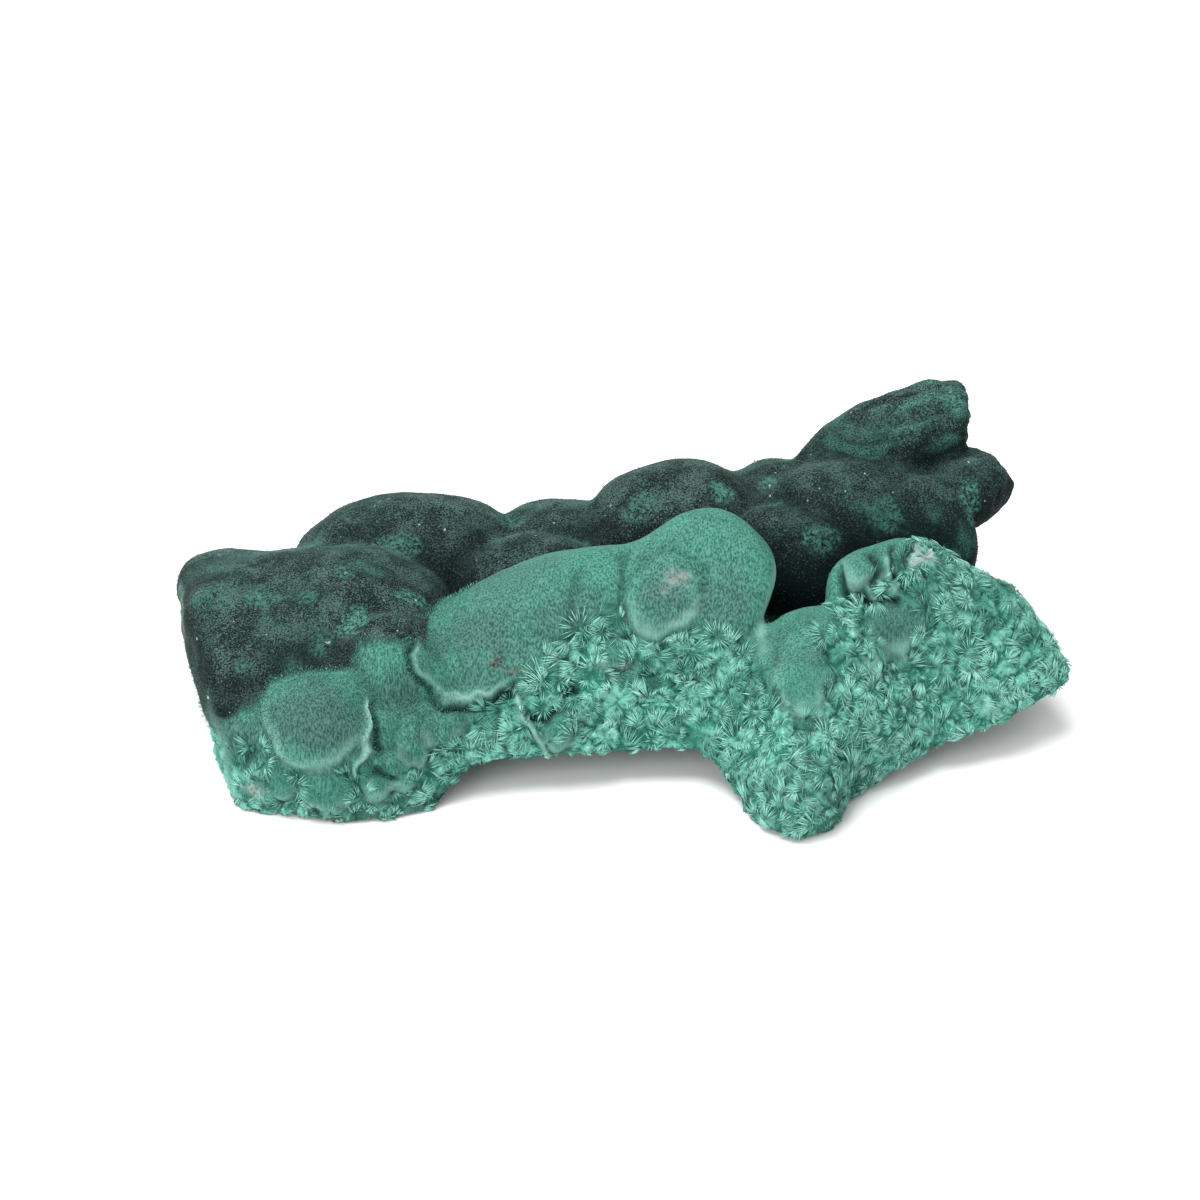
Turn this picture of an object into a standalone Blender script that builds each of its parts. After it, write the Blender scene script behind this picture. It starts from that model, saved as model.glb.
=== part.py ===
"""A hand specimen of velvet malachite, one natural solid lying on its broken underside.

Rounded lobes stand on a low slab. A fracture face cuts the front, and a second one cuts the
left end. Two arches under the front leave a broad left foot and a narrow pointed right one.
"""

import math

import bmesh
import bpy
from mathutils import Matrix, Vector

MM = 0.001

# Driving dimensions, in millimetres. X runs along the specimen, Y towards its back.
SLAB_TOP = 11
SLAB_BOTTOM = -4
SKIRT_BOTTOM = -3
FRONT_LEAN = 0.55          # how far the front face runs back for each millimetre of height
CUTTER_REACH = 90
ROUGH_VOXEL = 1.0
FINE_VOXEL = 1.1
SOFTENING_PASSES = 4
KEPT_SHARE = 0.2           # of the triangles, after the surface is simplified
SKIRT_FOOT = 0.82          # a skirt's width at the bottom, as a share of its lobe's width

# The slab's outline seen from above, with the narrow right wing at the end.
OUTLINE = [
    (-44, -38), (-54.5, 2), (-56, 12), (-50, 17), (-38, 22), (-20, 25), (20, 26),
    (38, 30), (44, 30), (45, 12), (53, 8), (57, -2), (56, -38),
]

# Where the front face meets the ground, from left to right.
FRONT_LINE = [
    (-62, -17), (-47, -20), (-32, -23), (-15, -19), (5, -16), (20, -17), (32, -15), (45, -11), (62, -4),
]

# Dark velvet lobes: centre, radii, turn about Z, rise of the right end, right limit.
# Each of them stands on a skirt that narrows a little from its widest level into the slab.
STANDING_LOBES = [
    ((-48, 4, 8), (15, 19, 11), 0, 0, None),
    ((-33, 3, 9), (14, 18, 12.5), -8, 0, None),
    ((-26.5, 18, 10), (17, 12, 12.5), 5, 0, None),
    ((-10, 11, 11), (12, 8, 10), 0, 0, None),
    ((-6, 20, 10), (14, 11, 10.5), 8, 0, None),
    ((9, 21, 13.5), (16, 11, 12), 8, 0, None),
    ((21, 24, 14), (11, 9, 11), 8, 0, None),
    ((22, 13, 13.5), (10, 7, 10.5), -5, 0, None),
    ((32, 20, 16), (16, 10, 11.5), 5, 0, 46),
    ((39, 27, 22), (19, 8, 11.5), 8, 20, 45.5),
]

# Lower lobes round the back of the slab, whole ellipsoids that the ground cuts.
BACK_LOBES = [
    ((-45, 15, 6), (11, 9, 9), -30, 0, None),
    ((-29, 24, 8), (13, 8, 10), -10, 0, None),
    ((-9, 27, 7), (12, 7, 9), 0, 0, None),
    ((8, 28, 9), (12, 7, 12), 5, 0, None),
    ((26, 31, 9), (13, 7, 12), 0, 0, None),
    ((38, 32, 14), (9, 6, 15), 0, 0, 45.5),
]

# Free lobes, whole ellipsoids: the ear at the back right, the green ridge and the right mass.
FREE_LOBES = [
    ((41, 15, 18), (7.5, 6, 9.5), 0, 0, 46),
    ((45, 21, 23), (5.5, 7, 5), 0, 0, None),
    ((-8, -2.5, 14.3), (20.5, 10.5, 10), 8, 17, None),
    ((11.4, 0, 18.8), (9.5, 9, 11.5), 0, 0, None),
    ((26, -6, 8), (11, 10, 9.5), 0, 10, None),
    ((31, 0, 18.8), (5, 5.5, 5.5), 0, 0, None),
    ((37, 1, 17.5), (8, 8.5, 8), 0, 0, None),
    ((44, 1, 9.2), (12.5, 10.5, 11), 0, -25, None),
]

# Lobes that stand out of the front face: two nodules on the left and the right foot in two steps.
FRONT_LOBES = [
    ((-36, -15, 9.5), (7, 5.5, 6.5), 0, 0, None),
    ((-27.5, -8.5, 13.5), (6.5, 6, 6.5), 0, 0, None),
    ((24, -10, 8), (11, 8, 9), 0, 0, None),
    ((22, -16, 3), (6.5, 9, 8.5), 0, 0, None),
]

# Arches under the front: centre, half sizes, corner radius, rise of the right end.
ARCHES = [
    ((-4, -20, -7), (19, 17, 10), 7, 0),
    ((52, -12, -8.5), (23, 22, 12), 8, 11),
]

# A plane through this point, with this normal, ends the specimen on the left.
LEFT_END_POINT = (-48.5, -18, 0)
LEFT_END_NORMAL = (-1, -0.25, 0)


def clear_scene():
    for obj in list(bpy.data.objects):
        bpy.data.objects.remove(obj, do_unlink=True)
    for collection in list(bpy.data.collections):
        bpy.data.collections.remove(collection)


def new_collection(name):
    collection = bpy.data.collections.new(name)
    bpy.context.scene.collection.children.link(collection)
    return collection


def stone_material():
    material = bpy.data.materials.new("velvet_malachite")
    material.use_nodes = True
    shader = material.node_tree.nodes["Principled BSDF"]
    shader.inputs["Base Color"].default_value = (0.075, 0.22, 0.185, 1)
    shader.inputs["Roughness"].default_value = 0.85
    shader.inputs["Metallic"].default_value = 0.0
    return material


def add_lobe(shape, centre, radii, turn, rise, right_limit, standing):
    """Adds one ellipsoid to the mesh, with a straight skirt under it if it is standing."""
    place = (
        Matrix.Translation(Vector(centre) * MM)
        @ Matrix.Rotation(math.radians(turn), 4, "Z")
        @ Matrix.Rotation(-math.radians(rise), 4, "Y")
    )
    stretch = Matrix.Diagonal((*(radius * MM for radius in radii), 1))
    ball = bmesh.ops.create_uvsphere(shape, u_segments=40, v_segments=24, radius=1, matrix=place @ stretch)
    verts = ball["verts"]
    if standing:
        verts = verts + add_skirt(shape, centre, radii, turn)
    if right_limit is not None:
        for vert in verts:
            vert.co.x = min(vert.co.x, right_limit * MM)


def add_skirt(shape, centre, radii, turn):
    height = centre[2] - SKIRT_BOTTOM
    middle = (centre[0], centre[1], centre[2] - height / 2)
    place = Matrix.Translation(Vector(middle) * MM) @ Matrix.Rotation(math.radians(turn), 4, "Z")
    stretch = Matrix.Diagonal((radii[0] * MM, radii[1] * MM, height * MM, 1))
    skirt = bmesh.ops.create_cone(
        shape, cap_ends=True, segments=40, radius1=SKIRT_FOOT, radius2=1, depth=1, matrix=place @ stretch
    )
    return skirt["verts"]


def add_prism(shape, outline, bottom, top):
    """Adds a flat outline drawn up from bottom to top, and returns its corners."""
    corners = [shape.verts.new((x * MM, y * MM, bottom * MM)) for x, y in outline]
    base = shape.faces.new(corners)
    raised = bmesh.ops.extrude_face_region(shape, geom=[base])["geom"]
    top_verts = [item for item in raised if isinstance(item, bmesh.types.BMVert)]
    bmesh.ops.translate(shape, verts=top_verts, vec=(0, 0, (top - bottom) * MM))
    return corners + top_verts


def mesh_object(name, shape, collection):
    bmesh.ops.recalc_face_normals(shape, faces=shape.faces)
    mesh = bpy.data.meshes.new(name)
    shape.to_mesh(mesh)
    shape.free()
    obj = bpy.data.objects.new(name, mesh)
    collection.objects.link(obj)
    return obj


def cutter(name, shape, collection):
    obj = mesh_object(name, shape, collection)
    obj.hide_render = True
    obj.display_type = "WIRE"
    return obj


def lobes_object(collection):
    shape = bmesh.new()
    add_prism(shape, OUTLINE, SLAB_BOTTOM, SLAB_TOP)
    for lobe in STANDING_LOBES:
        add_lobe(shape, *lobe, standing=True)
    for lobe in BACK_LOBES + FREE_LOBES:
        add_lobe(shape, *lobe, standing=False)
    return mesh_object("malachite", shape, collection)


def front_cutter(collection):
    """Everything in front of the leaning fracture face."""
    shape = bmesh.new()
    outline = [(-CUTTER_REACH, FRONT_LINE[0][1])] + FRONT_LINE + [(CUTTER_REACH, FRONT_LINE[-1][1])]
    outline += [(CUTTER_REACH, -CUTTER_REACH), (-CUTTER_REACH, -CUTTER_REACH)]
    corners = add_prism(shape, outline, -20, 60)
    for corner in corners:
        corner.co.y += FRONT_LEAN * corner.co.z
    return cutter("front_fracture", shape, collection)


def left_cutter(collection):
    shape = bmesh.new()
    normal = Vector(LEFT_END_NORMAL).normalized()
    middle = Vector(LEFT_END_POINT) * MM + normal * CUTTER_REACH / 2 * MM
    turn = Matrix.Rotation(math.atan2(normal.y, normal.x), 4, "Z")
    bmesh.ops.create_cube(shape, size=CUTTER_REACH * MM, matrix=Matrix.Translation(middle) @ turn)
    return cutter("left_fracture", shape, collection)


def arch_cutter(number, centre, half, corner_radius, rise, collection):
    shape = bmesh.new()
    bmesh.ops.create_cube(shape, size=2, matrix=Matrix.Diagonal((*(side * MM for side in half), 1)))
    obj = cutter(f"arch_{number}", shape, collection)
    obj.location = Vector(centre) * MM
    obj.rotation_euler = (0, -math.radians(rise), 0)
    rounding = obj.modifiers.new("rounding", "BEVEL")
    rounding.width = corner_radius * MM
    rounding.segments = 6
    rounding.limit_method = "NONE"
    return obj


def ground_cutter(collection):
    shape = bmesh.new()
    middle = Matrix.Translation((0, 0, -CUTTER_REACH * MM))
    bmesh.ops.create_cube(shape, size=2 * CUTTER_REACH * MM, matrix=middle)
    return cutter("ground", shape, collection)


def add_remesh(obj, name, voxel):
    remesh = obj.modifiers.new(name, "REMESH")
    remesh.mode = "VOXEL"
    remesh.voxel_size = voxel * MM
    remesh.use_smooth_shade = True


def add_boolean(obj, other, operation):
    boolean = obj.modifiers.new(f"{operation.lower()}_{other.name}", "BOOLEAN")
    boolean.operation = operation
    boolean.solver = "EXACT"
    boolean.object = other


def front_lobes(collection):
    """The nodules and the foot, as one closed helper that is joined on after the fracture is cut."""
    shape = bmesh.new()
    for lobe in FRONT_LOBES:
        add_lobe(shape, *lobe, standing=False)
    obj = cutter("front_lobes", shape, collection)
    add_remesh(obj, "closed", FINE_VOXEL)
    return obj


def build():
    clear_scene()
    parts = new_collection("malachite_specimen")
    helpers = new_collection("cutters")
    helpers.hide_render = True

    stone = lobes_object(parts)
    add_remesh(stone, "grown_together", ROUGH_VOXEL)
    add_boolean(stone, front_cutter(helpers), "DIFFERENCE")
    add_boolean(stone, left_cutter(helpers), "DIFFERENCE")
    add_boolean(stone, front_lobes(helpers), "UNION")
    for number, arch in enumerate(ARCHES, start=1):
        add_boolean(stone, arch_cutter(number, *arch, helpers), "DIFFERENCE")
    add_remesh(stone, "even_surface", FINE_VOXEL)

    soften = stone.modifiers.new("worn_edges", "SMOOTH")
    soften.factor = 0.5
    soften.iterations = SOFTENING_PASSES

    simplify = stone.modifiers.new("fewer_triangles", "DECIMATE")
    simplify.ratio = KEPT_SHARE

    add_boolean(stone, ground_cutter(helpers), "DIFFERENCE")
    stone.data.materials.append(stone_material())
    centre_on_ground(stone)


def centre_on_ground(stone):
    """Makes the middle of the object's footprint box the origin, with the helpers moved along."""
    graph = bpy.context.evaluated_depsgraph_get()
    corners = [Vector(corner) for corner in stone.evaluated_get(graph).bound_box]
    lowest = Vector(map(min, *corners))
    highest = Vector(map(max, *corners))
    middle = (lowest + highest) / 2
    shift = Vector((middle.x, middle.y, lowest.z))
    for obj in bpy.data.objects:
        obj.location -= shift


build()
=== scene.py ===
"""Looks of the velvet malachite specimen: one stone with dark velvet lobes and a fibrous front."""
import itertools
import math

import bpy
import numpy as np
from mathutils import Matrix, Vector
from mathutils.kdtree import KDTree


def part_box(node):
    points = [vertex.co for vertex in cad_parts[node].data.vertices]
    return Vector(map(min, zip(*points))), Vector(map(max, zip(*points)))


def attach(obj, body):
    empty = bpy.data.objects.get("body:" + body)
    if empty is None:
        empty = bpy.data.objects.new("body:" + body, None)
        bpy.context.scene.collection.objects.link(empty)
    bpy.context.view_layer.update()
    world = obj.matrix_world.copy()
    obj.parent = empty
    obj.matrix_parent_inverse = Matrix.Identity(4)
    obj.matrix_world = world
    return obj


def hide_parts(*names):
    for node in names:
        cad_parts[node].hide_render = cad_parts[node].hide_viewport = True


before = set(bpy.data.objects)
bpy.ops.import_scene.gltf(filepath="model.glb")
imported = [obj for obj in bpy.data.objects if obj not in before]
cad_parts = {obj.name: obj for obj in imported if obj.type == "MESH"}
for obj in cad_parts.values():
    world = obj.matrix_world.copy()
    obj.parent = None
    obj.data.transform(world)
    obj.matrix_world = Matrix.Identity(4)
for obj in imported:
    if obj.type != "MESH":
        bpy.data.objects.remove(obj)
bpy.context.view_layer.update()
NODE = "malachite"
MM = 0.001

# ------------------------------------
# Shape, in millimetres. Most values are the CAD solid's. The arches, the narrow foot, the left end,
# the front's line and some lobes differ from it, to follow the photo more closely.
# ------------------------------------
GRID = 0.3                 # spacing of the fine surface
COARSE_STEPS = 4           # fine steps in one step of the coarse pass
COARSE_MARGIN = 1.1        # coarse steps from the surface that are worked out on the fine grid
REGION = ((-59, 60), (-29, 42), (-1.5, 37.5))
SLAB_MIDDLE = 2            # height of the slab's middle
SLAB_HALF = 9
SLAB_ROUNDING = 2
SKIRT_BOTTOM = -3
SKIRT_FOOT = 0.82
FRONT_LEAN = 0.55
OUTLINE = [
    (-44, -38), (-54.5, 2), (-56, 12), (-50, 17), (-38, 22), (-20, 25), (20, 26),
    (38, 30), (44, 30), (45, 12), (53, 8), (57, -2), (56, -38),
]
FRONT_LINE = [
    (-62, -17), (-47, -20), (-32, -24), (-15, -19), (5, -16), (20, -17), (32, -15), (45, -11), (62, -4),
]
# Each lobe is its centre, radii, turn about Z, rise of the right end and right limit.
STANDING_LOBES = [
    ((-48, 4, 8), (15, 19, 11), 0, 0, None),
    ((-33, 3, 9), (14, 18, 12.5), -8, 0, None),
    ((-26.5, 18, 10), (17, 12, 12.5), 5, 0, None),
    ((-10, 11, 11), (12, 8, 10), 0, 0, None),
    ((-6, 20, 10), (14, 11, 10.5), 8, 0, None),
    ((9, 21, 13.5), (16, 11, 12), 8, 0, None),
    ((21, 24, 14), (11, 9, 11), 8, 0, None),
    ((22, 13, 13.5), (10, 7, 10.5), -5, 0, None),
    ((32, 20, 16), (16, 10, 11.5), 5, 0, 46),
    ((39, 27, 22), (19, 8, 11.5), 8, 20, 45.5),
]
BACK_LOBES = [
    ((-45, 15, 6), (11, 9, 9), -30, 0, None),
    ((-29, 24, 8), (13, 8, 10), -10, 0, None),
    ((-9, 27, 7), (12, 7, 9), 0, 0, None),
    ((8, 28, 9), (12, 7, 12), 5, 0, None),
    ((26, 31, 9), (13, 7, 12), 0, 0, None),
    ((38, 32, 14), (9, 6, 15), 0, 0, 45.5),
    ((41, 15, 18), (7.5, 6, 9.5), 0, 0, 46),
    ((45, 21, 23), (5.5, 7, 5), 0, 0, None),
]
GREEN_LOBES = [
    ((-8, -2.5, 14.3), (20.5, 10.5, 10), 8, 17, None),
    ((11.4, 0, 18.8), (9.5, 9, 11.5), 0, 0, None),
    ((26, -6, 8), (11, 10, 9.5), 0, 10, None),
    ((31, 0, 18.8), (5, 5.5, 5.5), 0, 0, None),
    ((37, 1, 17.5), (8, 8.5, 8), 0, 0, None),
    ((43.3, 1, 9.8), (11.9, 10.5, 11), 0, -25, None),
]
FRONT_LOBES = [
    ((-36, -15, 9.5), (7, 5.5, 6.5), 0, 0, None),
    ((-27.5, -8.5, 13.5), (6.5, 6, 6.5), 0, 0, None),
    ((24, -10, 8), (11, 8, 9), 0, 0, None),
    ((22, -17.5, 3), (6.8, 9.6, 8.5), 0, 0, None),
]
# Lobes of the fine shape alone: the shoulder on the right of the gap.
SHOULDER_LOBES = [
    ((24.5, -6, 13), (7.5, 6.5, 7), 0, 22, None),
    ((20, -8.5, 11.5), (4.5, 4.5, 5.4), 0, 15, None),
]
GAP_POINT = (17.8, 16.2)   # foot of the ridge's right edge in X and Z, which leans to the right
GAP_NORMAL = (0.932, -0.363)
ARCHES = [
    ((-4, -20, -6.2), (19, 17, 10), 7, 0),
    ((52, -12, -7.2), (23, 22, 12), 8, 13),
]
LEFT_END_POINT = (-48.5, -18, 10)
LEFT_END_NORMAL = (-0.962, -0.243, -0.13)
FAR = 1000.0
CORNERS = list(itertools.product((0, 1), repeat=3))

# Widths over which lobes blend into each other.
LEFT_BLEND = 6.0           # the two standing lobes of the left end
STANDING_BLEND = 1.5
BACK_BLEND = 1.3
RIDGE_BLEND = 4.0
GREEN_BLEND = 3.0
SHOULDER_BLEND = 1.5
FRONT_BLEND = 4.0
SLAB_BLEND = 2.5
# Widths over which cut edges are rounded.
FRONT_EDGE = 0.8
GREEN_EDGE = 3.0
SLAB_LEFT_EDGE = 1.5
DARK_LEFT_EDGE = 4.0
GAP_EDGE = 1.0
ARCH_EDGE = 2.0
LIMIT_EDGE = 1.0


def smooth_min(a, b, width):
    share = np.clip(0.5 + 0.5 * (b - a) / width, 0, 1)
    return b + (a - b) * share - width * share * (1 - share)


def smooth_max(a, b, width):
    return -smooth_min(-a, -b, width)


def smooth_step(low, high, value):
    share = np.clip((value - low) / (high - low), 0, 1)
    return share * share * (3 - 2 * share)


def unit(vectors):
    return vectors / np.linalg.norm(vectors, axis=1)[:, None]


def turned(points, turn, rise):
    """Points in the axes of something turned about Z and with its right end raised."""
    x, y, z = points.T
    c, s = math.cos(math.radians(turn)), math.sin(math.radians(turn))
    x, y = x * c + y * s, y * c - x * s
    c, s = math.cos(math.radians(rise)), math.sin(math.radians(rise))
    x, z = x * c + z * s, z * c - x * s
    return np.stack([x, y, z], 1)


def lobe_distance(points, lobe, standing):
    centre, radii, turn, rise, limit = lobe
    place = turned(points - np.array(centre), turn, rise)
    if standing:
        drop = np.clip(-place[:, 2] / (centre[2] - SKIRT_BOTTOM), 0, 1.2)
        place[:, :2] /= (1 - (1 - SKIRT_FOOT) * drop)[:, None]
        place[:, 2] = np.maximum(place[:, 2], 0)
    radii = np.array(radii, float)
    length = np.linalg.norm(place / radii, axis=1)
    steepness = np.linalg.norm(place / radii**2, axis=1)
    distance = length * (length - 1) / np.maximum(steepness, 1e-6)
    if limit is not None:
        distance = smooth_max(distance, points[:, 0] - limit, LIMIT_EDGE)
    return distance


def join_lobes(points, lobes, standing, width, total=None, second=None):
    """The blended distance to some lobes; second collects the next nearest lobe's distance."""
    total = np.full(len(points), FAR) if total is None else total
    for lobe in lobes:
        reach = max(lobe[1]) + 5
        off = np.abs(points - np.array(lobe[0]))
        near = (off[:, 0] < reach) & (off[:, 1] < reach)
        if not standing:
            near &= off[:, 2] < reach
        one = lobe_distance(points[near], lobe, standing)
        before = total[near]
        if second is not None:
            second[near] = np.minimum(second[near], np.maximum(before, one))
        total[near] = smooth_min(before, one, width)
    return total


def outline_distance(points, outline):
    """Signed distance in plan to a closed outline, negative inside."""
    plan = points[:, :2]
    nearest = np.full(len(plan), FAR)
    sign = np.ones(len(plan))
    for here, there in zip(outline, outline[-1:] + outline[:-1]):
        here, there = np.array(here, float), np.array(there, float)
        edge, away = there - here, plan - here
        share = np.clip((away @ edge) / (edge @ edge), 0, 1)[:, None]
        nearest = np.minimum(nearest, ((away - edge * share) ** 2).sum(1))
        above, below = plan[:, 1] >= here[1], plan[:, 1] < there[1]
        left = edge[0] * away[:, 1] > edge[1] * away[:, 0]
        sign = np.where((above & below & left) | (~above & ~below & ~left), -sign, sign)
    return sign * np.sqrt(nearest)


def front_gap(points):
    """Distance in front of the leaning fracture face, negative behind it."""
    x, y, z = points.T
    line = np.array(FRONT_LINE, float)
    near = sum(np.interp(x + step, line[:, 0], line[:, 1]) for step in (-4, -2, 0, 2, 4)) / 5
    return (near + FRONT_LEAN * z - y) / math.hypot(1, FRONT_LEAN)


def left_gap(points):
    return (points - np.array(LEFT_END_POINT)) @ np.array(LEFT_END_NORMAL)


def past_ridge(points):
    """Distance to the right of the ridge's right edge, which leans to the right above its foot."""
    past = (points[:, 0] - GAP_POINT[0]) * GAP_NORMAL[0]
    return past + np.maximum(points[:, 2] - GAP_POINT[1], 0) * GAP_NORMAL[1]


def arch_distance(points, centre, half, corner, rise):
    place = np.abs(turned(points - np.array(centre), 0, rise)) - (np.array(half, float) - corner)
    outside = np.linalg.norm(np.maximum(place, 0), axis=1)
    return outside + np.minimum(place.max(1), 0) - corner


def regions(points, second=None):
    """Distances to the dark lobes, the slab and the green lobes."""
    dark = join_lobes(points, STANDING_LOBES[:2], True, LEFT_BLEND)
    dark = join_lobes(points, STANDING_LOBES[2:], True, STANDING_BLEND, dark, second)
    dark = join_lobes(points, BACK_LOBES, False, BACK_BLEND, dark, second)
    front, left = front_gap(points), left_gap(points)
    flat = np.abs(points[:, 2] - SLAB_MIDDLE) - SLAB_HALF
    slab = smooth_max(flat, outline_distance(points, OUTLINE), SLAB_ROUNDING)
    slab = smooth_max(smooth_max(slab, front, FRONT_EDGE), left, SLAB_LEFT_EDGE)
    dark = smooth_max(smooth_max(dark, front, FRONT_EDGE), left, DARK_LEFT_EDGE)
    ridge = join_lobes(points, GREEN_LOBES[:2], False, RIDGE_BLEND)
    ridge = smooth_max(ridge, past_ridge(points), GAP_EDGE)
    edge_blend = 0.6 + 4.0 * smooth_step(16.5, 12.5, points[:, 2])
    green = smooth_min(ridge, join_lobes(points, GREEN_LOBES[2:], False, GREEN_BLEND), edge_blend)
    green = smooth_max(green, front, GREEN_EDGE)
    green = join_lobes(points, SHOULDER_LOBES, False, SHOULDER_BLEND, green)
    green = join_lobes(points, FRONT_LOBES, False, FRONT_BLEND, green)
    return dark, slab, green


def stone_distance(points):
    dark, slab, green = regions(points)
    low_blend = 1.5 + 5.5 * smooth_step(15, 8, points[:, 2])
    total = smooth_min(smooth_min(dark, slab, SLAB_BLEND), green, low_blend)
    for arch in ARCHES:
        total = smooth_max(total, -arch_distance(points, *arch), ARCH_EDGE)
    return np.maximum(total, -points[:, 2])


# ------------------------------------
# Surface: a fine grid around the distance's zero level, one vertex in each cell that it crosses.
# ------------------------------------
def grid_points(axes):
    return np.stack(np.meshgrid(*axes, indexing="ij"), -1).reshape(-1, 3)


def sampled_field():
    """The distance on the fine grid, worked out exactly only near the surface."""
    step = GRID * COARSE_STEPS
    counts = [int(math.ceil((high - low) / step)) for low, high in REGION]
    starts = np.array([low for low, high in REGION], float)
    coarse_axes = [start + step * np.arange(count + 1) for start, count in zip(starts, counts)]
    coarse = stone_distance(grid_points(coarse_axes)).reshape([count + 1 for count in counts])
    fine_shape = [count * COARSE_STEPS + 1 for count in counts]
    rows = [np.minimum(np.arange(size) // COARSE_STEPS, count) for size, count in zip(fine_shape, counts)]
    fine = np.where(coarse > 0, 1.0, -1.0)[np.ix_(*rows)] * step

    near = np.abs(coarse) < COARSE_MARGIN * step
    cell = np.zeros(counts, bool)
    for i, j, k in CORNERS:
        cell |= near[i:i + counts[0], j:j + counts[1], k:k + counts[2]]
    marks = np.zeros(fine_shape, bool)
    fine_cell = cell.repeat(COARSE_STEPS, 0).repeat(COARSE_STEPS, 1).repeat(COARSE_STEPS, 2)
    a, b, c = fine_cell.shape
    for i, j, k in CORNERS:
        marks[i:i + a, j:j + b, k:k + c] |= fine_cell
    where = np.argwhere(marks)
    fine[marks] = stone_distance(starts + GRID * where)
    return fine, starts


def surface_of(field, starts):
    """Vertices and quads of the zero level."""
    inside = field < 0
    cells = [size - 1 for size in field.shape]

    def corner(array, i, j, k):
        return array[i:i + cells[0], j:j + cells[1], k:k + cells[2]]

    count = sum(corner(inside, i, j, k).astype(np.int8) for i, j, k in CORNERS)
    crossed = np.argwhere((count > 0) & (count < 8))
    number = np.full(cells, -1, np.int64)
    number[tuple(crossed.T)] = np.arange(len(crossed))

    total = np.zeros((len(crossed), 3))
    edges = np.zeros(len(crossed))
    for axis in range(3):
        others = [other for other in range(3) if other != axis]
        for p in (0, 1):
            for q in (0, 1):
                start = np.zeros(3, int)
                start[others[0]], start[others[1]] = p, q
                end = start.copy()
                end[axis] = 1
                a = field[tuple((crossed + start).T)]
                b = field[tuple((crossed + end).T)]
                cut = (a < 0) != (b < 0)
                share = np.where(cut, a / np.where(cut, a - b, 1), 0)
                total += cut[:, None] * (start + share[:, None] * (end - start))
                edges += cut
    verts = starts + GRID * (crossed + total / edges[:, None])

    quads = []
    for axis in range(3):
        b, c = (axis + 1) % 3, (axis + 2) % 3
        size = list(field.shape)
        low = [slice(1, size[n] - 1) for n in range(3)]
        low[axis] = slice(0, size[axis] - 1)
        high = list(low)
        high[axis] = slice(1, size[axis])
        here, there = inside[tuple(low)], inside[tuple(high)]
        at = np.argwhere(here != there) + [s.start for s in low]
        step_b, step_c = np.eye(3, dtype=int)[b], np.eye(3, dtype=int)[c]
        ring = [number[tuple((at - offset).T)] for offset in (0 * step_b, step_b, step_b + step_c, step_c)]
        quad = np.stack(ring, 1)
        flip = inside[tuple(at.T)]
        quad[~flip] = quad[~flip][:, ::-1]
        quads.append(quad)
    return verts, np.concatenate(quads)


# ------------------------------------
# Noise and cells, worked out at the vertices.
# ------------------------------------
def hashed(cells, salt):
    """A number from 0 to 1 for each whole-number cell."""
    value = cells.astype(np.uint64)
    mixed = value[..., 0] * np.uint64(0x9E3779B1) + value[..., 1] * np.uint64(0x85EBCA77)
    mixed = mixed + value[..., 2] * np.uint64(0xC2B2AE3D) + np.uint64(salt * 2654435761 % 2**32)
    mixed ^= mixed >> np.uint64(15)
    mixed *= np.uint64(0x2C1B3C6D)
    mixed &= np.uint64(0xFFFFFFFF)
    mixed ^= mixed >> np.uint64(12)
    mixed *= np.uint64(0x297A2D39)
    mixed &= np.uint64(0xFFFFFFFF)
    mixed ^= mixed >> np.uint64(15)
    return mixed.astype(np.float64) / 2**32


def noise(points, size, salt=0):
    """Smooth noise from -1 to 1 whose bumps are about size across."""
    place = points / size + 1000
    cell = np.floor(place).astype(np.int64)
    share = place - cell
    share = share * share * (3 - 2 * share)
    total = np.zeros(len(points))
    for i, j, k in CORNERS:
        weight = np.abs(np.array([1 - i, 1 - j, 1 - k]) - share).prod(1)
        total += weight * hashed(cell + [i, j, k], salt)
    return total * 2 - 1


def layered(points, size, octaves, salt=0):
    total = np.zeros(len(points))
    strength, weight = 0.0, 1.0
    for octave in range(octaves):
        total += weight * noise(points, size / 2**octave, salt + octave)
        strength += weight
        weight *= 0.5
    return total / strength


def nearest_cells(points, size, salt=0):
    """For each point, the nearest scattered centre, its distance and that of the next one."""
    place = points / size + 1000
    base = np.floor(place).astype(np.int64)
    best = np.full(len(points), FAR)
    after = np.full(len(points), FAR)
    centre = np.zeros_like(points)
    chance = np.zeros(len(points))
    for offset in itertools.product((-1, 0, 1), repeat=3):
        cell = base + offset
        spot = cell + np.stack([hashed(cell, salt + n) for n in (1, 2, 3)], 1)
        gap = np.linalg.norm(spot - place, axis=1)
        closer = gap < best
        after = np.where(closer, best, np.minimum(after, gap))
        centre[closer] = spot[closer]
        chance[closer] = hashed(cell[closer], salt + 4)
        best = np.where(closer, gap, best)
    return (centre - 1000) * size, best * size, after * size, chance


def vertex_normals(verts, quads):
    a, b, c, d = (verts[quads[:, n]] for n in range(4))
    face = np.cross(c - a, d - b)
    normals = np.zeros_like(verts)
    for n in range(4):
        for axis in range(3):
            normals[:, axis] += np.bincount(quads[:, n], face[:, axis], len(verts))
    return normals / np.maximum(np.linalg.norm(normals, axis=1), 1e-9)[:, None]


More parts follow.
